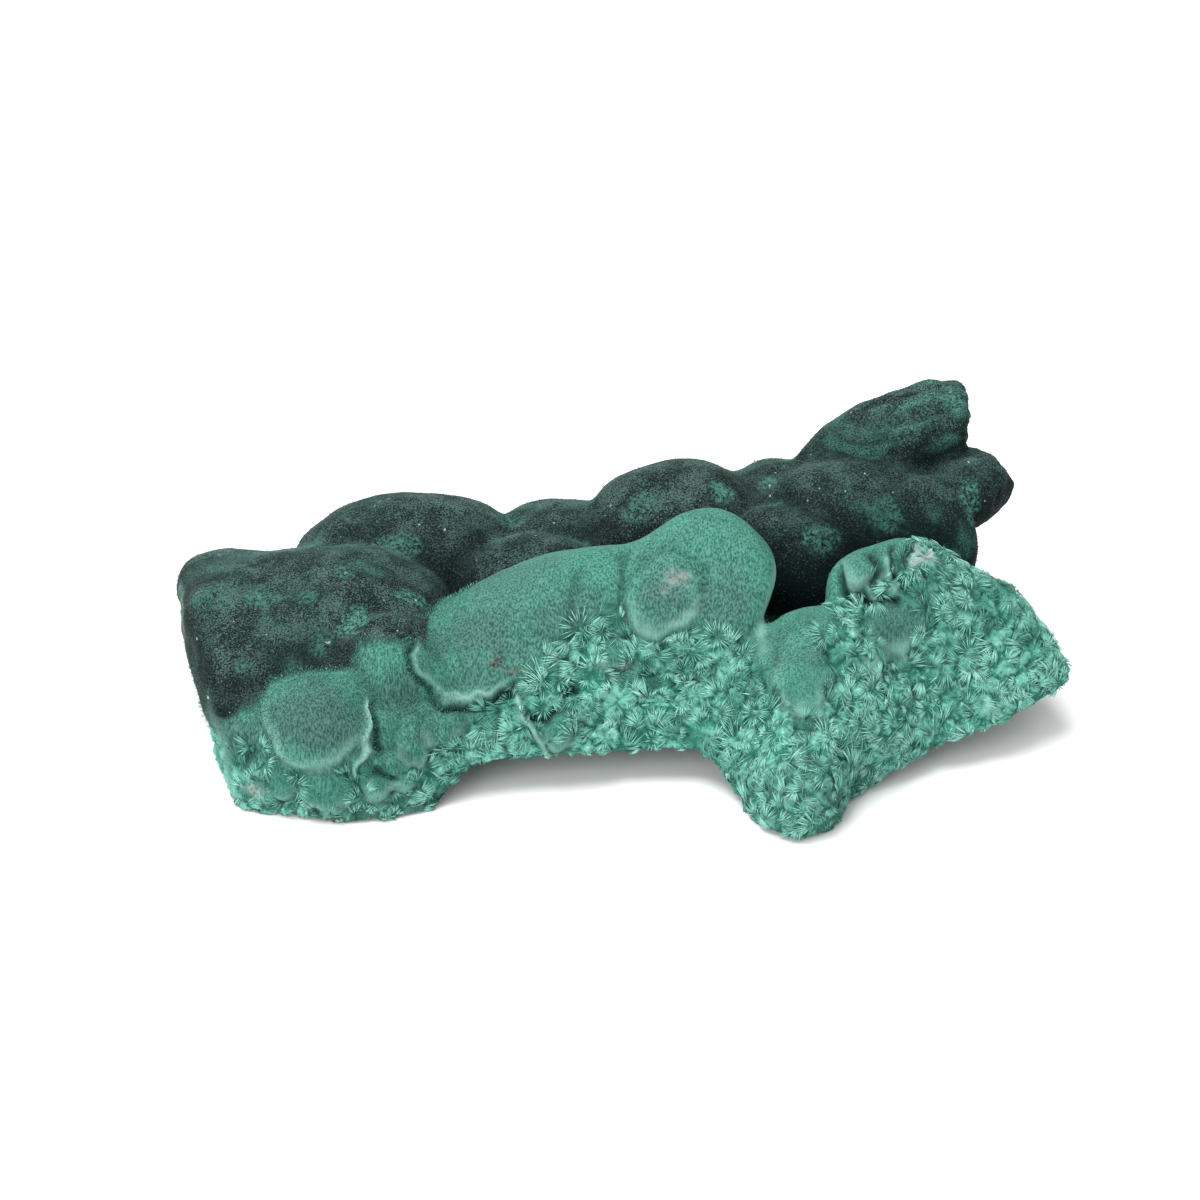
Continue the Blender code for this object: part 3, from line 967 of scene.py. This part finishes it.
def spread_choice(points, candidates, spacing, most):
    """Candidates in their order, leaving out any too near one already taken."""
    taken = np.zeros((0, 3))
    chosen = []
    for number in candidates:
        gap = ((taken - points[number]) ** 2).sum(1)
        if len(gap) and gap.min() < spacing**2:
            continue
        chosen.append(number)
        taken = points[chosen]
        if len(chosen) == most:
            break
    return np.array(chosen)


def laid_on(ends, verts, normals, share, rise):
    """The ends moved to the nearest vertex of the fibrous front, this far above it."""
    rows = np.flatnonzero(share["fibrous"] > 0.05)
    tree = KDTree(len(rows))
    for number, row in enumerate(rows):
        tree.insert(verts[row], number)
    tree.balance()
    nearest = rows[[tree.find(end)[1] for end in ends]]
    return verts[nearest] + normals[nearest] * rise[:, None]


def spray_needles(rng, verts, normals, share):
    """Start, end, outward direction, width and tone of every needle in the sprays."""
    weight = share["spray"] * (1 - share["rock"]) * smooth_step(-46.5, -44.5, verts[:, 0])
    front = (normals[:, 1] < 0.3) & (normals[:, 2] > -0.75)
    candidates = rng.permutation(np.flatnonzero((weight > 0.45) & front))
    middles = spread_choice(verts, candidates, STAR_SPACING, STAR_COUNT)
    side, other = tangents(normals[middles])
    starts, ends, outward, rise, rest = [], [], [], [], []
    for number, middle in enumerate(middles):
        count = rng.integers(*NEEDLES_IN_STAR)
        whole = rng.random() < WHOLE_STAR_CHANCE
        spread = 2 * math.pi if whole else rng.uniform(*FAN_ANGLE)
        turn = rng.uniform(0, 2 * math.pi)
        angle = turn + spread * (np.arange(count) + rng.uniform(-0.4, 0.4, count)) / count
        flat = np.cos(angle)[:, None] * side[number] + np.sin(angle)[:, None] * other[number]
        length = rng.uniform(*NEEDLE_LENGTH) * rng.uniform(0.65, 1.05, count)
        start = verts[middle] + rng.uniform(*STAR_HEIGHT) * normals[middle]
        starts.append(start + flat * rng.uniform(0, 0.5, count)[:, None])
        ends.append(verts[middle] + flat * length[:, None])
        outward.append(np.tile(normals[middle], (count, 1)))
        rise.append(rng.uniform(0, 0.4) + rng.uniform(0, 0.25, count))
        middle_tone = rng.normal(0.42, 0.2) - 0.4 * share["shade"][middle] - 0.25 * (1 - weight[middle])
        tone = np.clip(middle_tone + rng.normal(0, 0.14, count), 0, 1)
        rest.append(np.column_stack([rng.uniform(*NEEDLE_WIDTH, count), tone]))
    ends = laid_on(np.concatenate(ends), verts, normals, share, np.concatenate(rise))
    return np.column_stack([np.concatenate(starts), ends, np.concatenate(outward), np.concatenate(rest)])


def leaning_strands(rng, normals, weight, count, lean, spread):
    """Vertices chosen by weight, and a direction at each that leans and varies."""
    picked = rng.choice(len(normals), count, False, weight / weight.sum())
    heading = normals[picked] + lean + rng.uniform(-spread, spread, (count, 3))
    return picked, unit(heading)


def edge_strands(rng, verts, normals, share):
    """The same for short strands along the edge between the green and the dark velvet."""
    edge = share["fibrous"] * (1 - share["fibrous"]) * 4 * (1 - share["rock"]) * (verts[:, 0] > -46)
    left = smooth_step(-16, -22, verts[:, 0]) * share["fibrous"] * (1 - share["spray"])
    edge = np.maximum(edge, 0.35 * left)
    picked, heading = leaning_strands(rng, normals, edge, STRAND_COUNT, (0, 0.1, 0.5), 0.35)
    width = rng.uniform(*STRAND_WIDTH, len(picked))
    tone = rng.uniform(-0.35, 0.2, len(picked))
    start = verts[picked] - STRAND_ROOT * normals[picked]
    end = start + heading * rng.uniform(*STRAND_LENGTH, len(picked))[:, None]
    return np.column_stack([start, end, normals[picked], width, tone])


def velvet_strands(rng, verts, normals, share):
    """The same for the pile of the dark velvet, sparser on top where it is worn down."""
    velvet = 1 - np.maximum(share["fibrous"], share["rock"])
    chance = velvet * (1.15 - share["up"]) * (normals[:, 2] > -0.3)
    picked, heading = leaning_strands(rng, normals, chance, VELVET_COUNT, (0, 0, 0.3), 0.4)
    start = verts[picked] - PILE_ROOT * normals[picked]
    end = start + heading * rng.uniform(*PILE_LENGTH, len(picked))[:, None]
    width = rng.uniform(*STRAND_WIDTH, len(picked))
    return np.column_stack([start, end, normals[picked], width, rng.uniform(-1.0, -0.35, len(picked))])


def needle_object(needles, shift):
    """Spindles with three sides that bow outwards, each ending in a point at both ends."""
    start, end, outward = needles[:, 0:3], needles[:, 3:6], needles[:, 6:9]
    width, tone = needles[:, 9:10], needles[:, 10]
    length = np.maximum(np.linalg.norm(end - start, axis=1), 0.1)[:, None]
    side, other = tangents((end - start) / length)
    middle = start + (end - start) * WIDEST + outward * length * BOW
    points = [start]
    for corner in range(3):
        angle = 2 * math.pi * corner / 3
        points.append(middle + width * (math.cos(angle) * side + math.sin(angle) * other))
    points.append(end)
    verts = np.stack(points, 1).reshape(-1, 3)
    verts[:, 2] = np.maximum(verts[:, 2], LOWEST)
    faces = []
    for corner in range(3):
        after = (corner + 1) % 3
        faces += [(0, 1 + after, 1 + corner), (4, 1 + corner, 1 + after)]
    tris = (np.arange(len(needles))[:, None, None] * len(points) + np.array(faces)).reshape(-1, 3)
    mesh = new_mesh("fibre_sprays", verts + shift, tris)
    set_attribute(mesh, "along", np.tile([0, WIDEST, WIDEST, WIDEST, 1], len(needles)))
    set_attribute(mesh, "tone", np.repeat(tone, len(points)))
    add_needle_map(mesh, len(needles))
    return add_object("fibre_sprays", mesh)


def add_needle_map(mesh, count):
    """Gives each needle its own square of the map, with its three sides as diamonds next to each other."""
    across = math.ceil(math.sqrt(count))
    corners = []
    for side in range(3):
        low, left, right, high = (side + 0.5, 0), (side, 0.5), (side + 1, 0.5), (side + 0.5, 1)
        corners += [low, right, left, high, left, right]
    corners = np.array(corners) * (0.3, 0.9) + (0.05, 0.05)
    number = np.arange(count)
    cell = np.stack([number % across, number // across], 1)
    places = (cell[:, None, :] + corners) / across
    layer = mesh.uv_layers.new(name="OFBake")
    layer.uv.foreach_set("vector", places.astype(np.float32).ravel())


def needle_material():
    material = bpy.data.materials.new("malachite_fibres")
    n = Nodes(material)
    tone, along = n.attribute("tone"), n.attribute("along")
    body = n.mix(n.span(tone, 0.0, 0.5), srgb(70, 142, 125), srgb(142, 212, 195))
    body = n.mix(n.span(tone, 0.45, 1.0), body, srgb(168, 222, 209))
    # painted shade: each needle darker towards its root, near the surface among the others
    colour = n.mix(n.span(along, 0.0, 0.4), srgb(40, 104, 90), body)
    colour = n.mix(n.times(n.span(along, 0.6, 1.0), 0.15), colour, srgb(176, 218, 206))
    colour = n.mix(n.span(tone, 0.0, -1.0), colour, srgb(14, 40, 36))
    n.put(colour, n.shader.inputs["Base Color"])
    n.shader.inputs["Roughness"].default_value = 0.55
    n.shader.inputs["Specular IOR Level"].default_value = 0.35
    return material


# ------------------------------------
# Floor, light and camera.
# ------------------------------------
FLOOR_HALF = 2.0           # metres from the middle of the floor to its sides
FLOOR_COLOUR = (0.86, 0.86, 0.86, 1)
WORLD_STRENGTH = 0.75
# Each light is its name, the direction it comes from, strength and spread in degrees.
SUNS = [
    ("overhead", (-0.25, 0.05, 1), 2.6, 35),
    ("front_left", (-0.6, -0.8, 0.5), 1.5, 40),
]
CAMERA_RISE = 30           # degrees above the floor
CAMERA_DISTANCE = 0.354
CAMERA_LENS = 85
AIM = (-1.9, 0, 18.2)      # in the shape's own millimetres


def add_floor():
    mesh = bpy.data.meshes.new("floor")
    half = FLOOR_HALF
    corners = [(-half, -half, 0), (half, -half, 0), (half, half, 0), (-half, half, 0)]
    mesh.from_pydata(corners, [], [(0, 1, 2, 3)])
    floor = add_object("floor", mesh)
    material = bpy.data.materials.new("pale_paper")
    n = Nodes(material)
    n.shader.inputs["Base Color"].default_value = FLOOR_COLOUR
    n.shader.inputs["Roughness"].default_value = 0.9
    n.shader.inputs["Specular IOR Level"].default_value = 0.1
    mesh.materials.append(material)


def add_sun(name, direction, strength, spread):
    """A broad light from this direction, as even as a large softbox far away."""
    light = bpy.data.lights.new(name, "SUN")
    light.energy = strength
    light.angle = math.radians(spread)
    obj = add_object(name, light)
    obj.rotation_euler = Vector(direction).to_track_quat("Z", "Y").to_euler()


def add_lights():
    world = bpy.data.worlds.new("studio")
    world.use_nodes = True
    background = world.node_tree.nodes["Background"]
    background.inputs["Color"].default_value = (1, 1, 1, 1)
    background.inputs["Strength"].default_value = WORLD_STRENGTH
    bpy.context.scene.world = world
    for sun in SUNS:
        add_sun(*sun)


def add_camera(shift):
    camera = bpy.data.cameras.new("camera")
    camera.lens = CAMERA_LENS
    camera.clip_start = 0.01
    obj = add_object("camera", camera)
    rise = math.radians(CAMERA_RISE)
    aim = Vector((np.array(AIM) + shift) * MM)
    back = Vector((0, -math.cos(rise), math.sin(rise)))
    obj.location = aim + back * CAMERA_DISTANCE
    obj.rotation_euler = back.to_track_quat("Z", "Y").to_euler()
    bpy.context.scene.camera = obj


bpy.context.scene.view_settings.view_transform = "Standard"
stone, SHIFT, (points, faces, kinds) = stone_object()
stone.data.materials.append(stone_material())

rng = np.random.default_rng(SEED)
outwards = even_normals(points, faces, NEEDLE_PASSES)
growths = (spray_needles, edge_strands, velvet_strands)
needles = np.concatenate([grow(rng, points, outwards, kinds) for grow in growths])
fibres = needle_object(needles, SHIFT)
fibres.data.materials.append(needle_material())

for piece in (stone, fibres):
    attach(piece, "root")
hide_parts(NODE)
add_floor()
add_lights()
add_camera(SHIFT)
